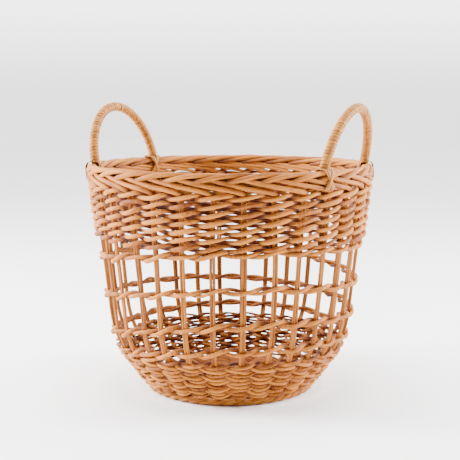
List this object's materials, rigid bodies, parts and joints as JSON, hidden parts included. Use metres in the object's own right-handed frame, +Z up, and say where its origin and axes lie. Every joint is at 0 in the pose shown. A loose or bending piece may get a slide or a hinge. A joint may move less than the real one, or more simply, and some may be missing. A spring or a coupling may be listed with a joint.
{
  "type": "woven wicker basket",
  "caption": "Round tapered willow basket with an openwork middle, a plaited border and two upright cane-wrapped hoop handles.",
  "frame": {"origin": "on the floor under the middle of the basket", "axes": "+Z up; the two handles stand over +X and -X"},
  "size_m": [0.3362, 0.3362, 0.339],
  "materials": {
    "willow_stakes": "buff willow, satin",
    "willow_weave": "buff willow, satin",
    "willow_border": "buff willow, satin",
    "willow_base": "buff willow, satin",
    "handle_core": "peeled willow rod, satin",
    "split_cane": "split cane, slight gloss"
  },
  "bodies": {
    "root": {"base_spokes": "willow_base", "base_weave_over": "willow_base", "base_weave_under": "willow_base", "fitch_turn_1": "willow_weave", "fitch_turn_2": "willow_weave", "fitch_turn_3": "willow_weave", "fitch_turn_4": "willow_weave", "foot_border": "willow_border", "handle_left_bow": "handle_core", "handle_left_lashings": "split_cane", "handle_left_wrap": "split_cane", "handle_right_bow": "handle_core", "handle_right_lashings": "split_cane", "handle_right_wrap": "split_cane", "lower_pairing_row_1": "willow_weave", "lower_pairing_row_2": "willow_weave", "lower_pairing_row_3": "willow_weave", "lower_pairing_row_4": "willow_weave", "lower_pairing_row_5": "willow_weave", "lower_pairing_row_6": "willow_weave", "rim_border": "willow_border", "slath_sticks_over": "willow_base", "slath_sticks_under": "willow_base", "stake_pair_01": "willow_stakes", "stake_pair_02": "willow_stakes", "stake_pair_03": "willow_stakes", "stake_pair_04": "willow_stakes", "stake_pair_05": "willow_stakes", "stake_pair_06": "willow_stakes", "stake_pair_07": "willow_stakes", "stake_pair_08": "willow_stakes", "stake_pair_09": "willow_stakes", "stake_pair_10": "willow_stakes", "stake_pair_11": "willow_stakes", "stake_pair_12": "willow_stakes", "stake_pair_13": "willow_stakes", "stake_pair_14": "willow_stakes", "stake_pair_15": "willow_stakes", "stake_pair_16": "willow_stakes", "stake_pair_17": "willow_stakes", "stake_pair_18": "willow_stakes", "stake_pair_19": "willow_stakes", "stake_pair_20": "willow_stakes", "stake_pair_21": "willow_stakes", "stake_pair_22": "willow_stakes", "stake_pair_23": "willow_stakes", "stake_pair_24": "willow_stakes", "stake_pair_25": "willow_stakes", "stake_pair_26": "willow_stakes", "stake_pair_27": "willow_stakes", "stake_pair_28": "willow_stakes", "stake_pair_29": "willow_stakes", "stake_pair_30": "willow_stakes", "upper_pairing_row_1": "willow_weave", "upper_pairing_row_2": "willow_weave", "upper_pairing_row_3": "willow_weave", "upper_pairing_row_4": "willow_weave", "upper_pairing_row_5": "willow_weave", "upper_pairing_row_6": "willow_weave", "upper_pairing_row_7": "willow_weave"}
  },
  "joints": []
}
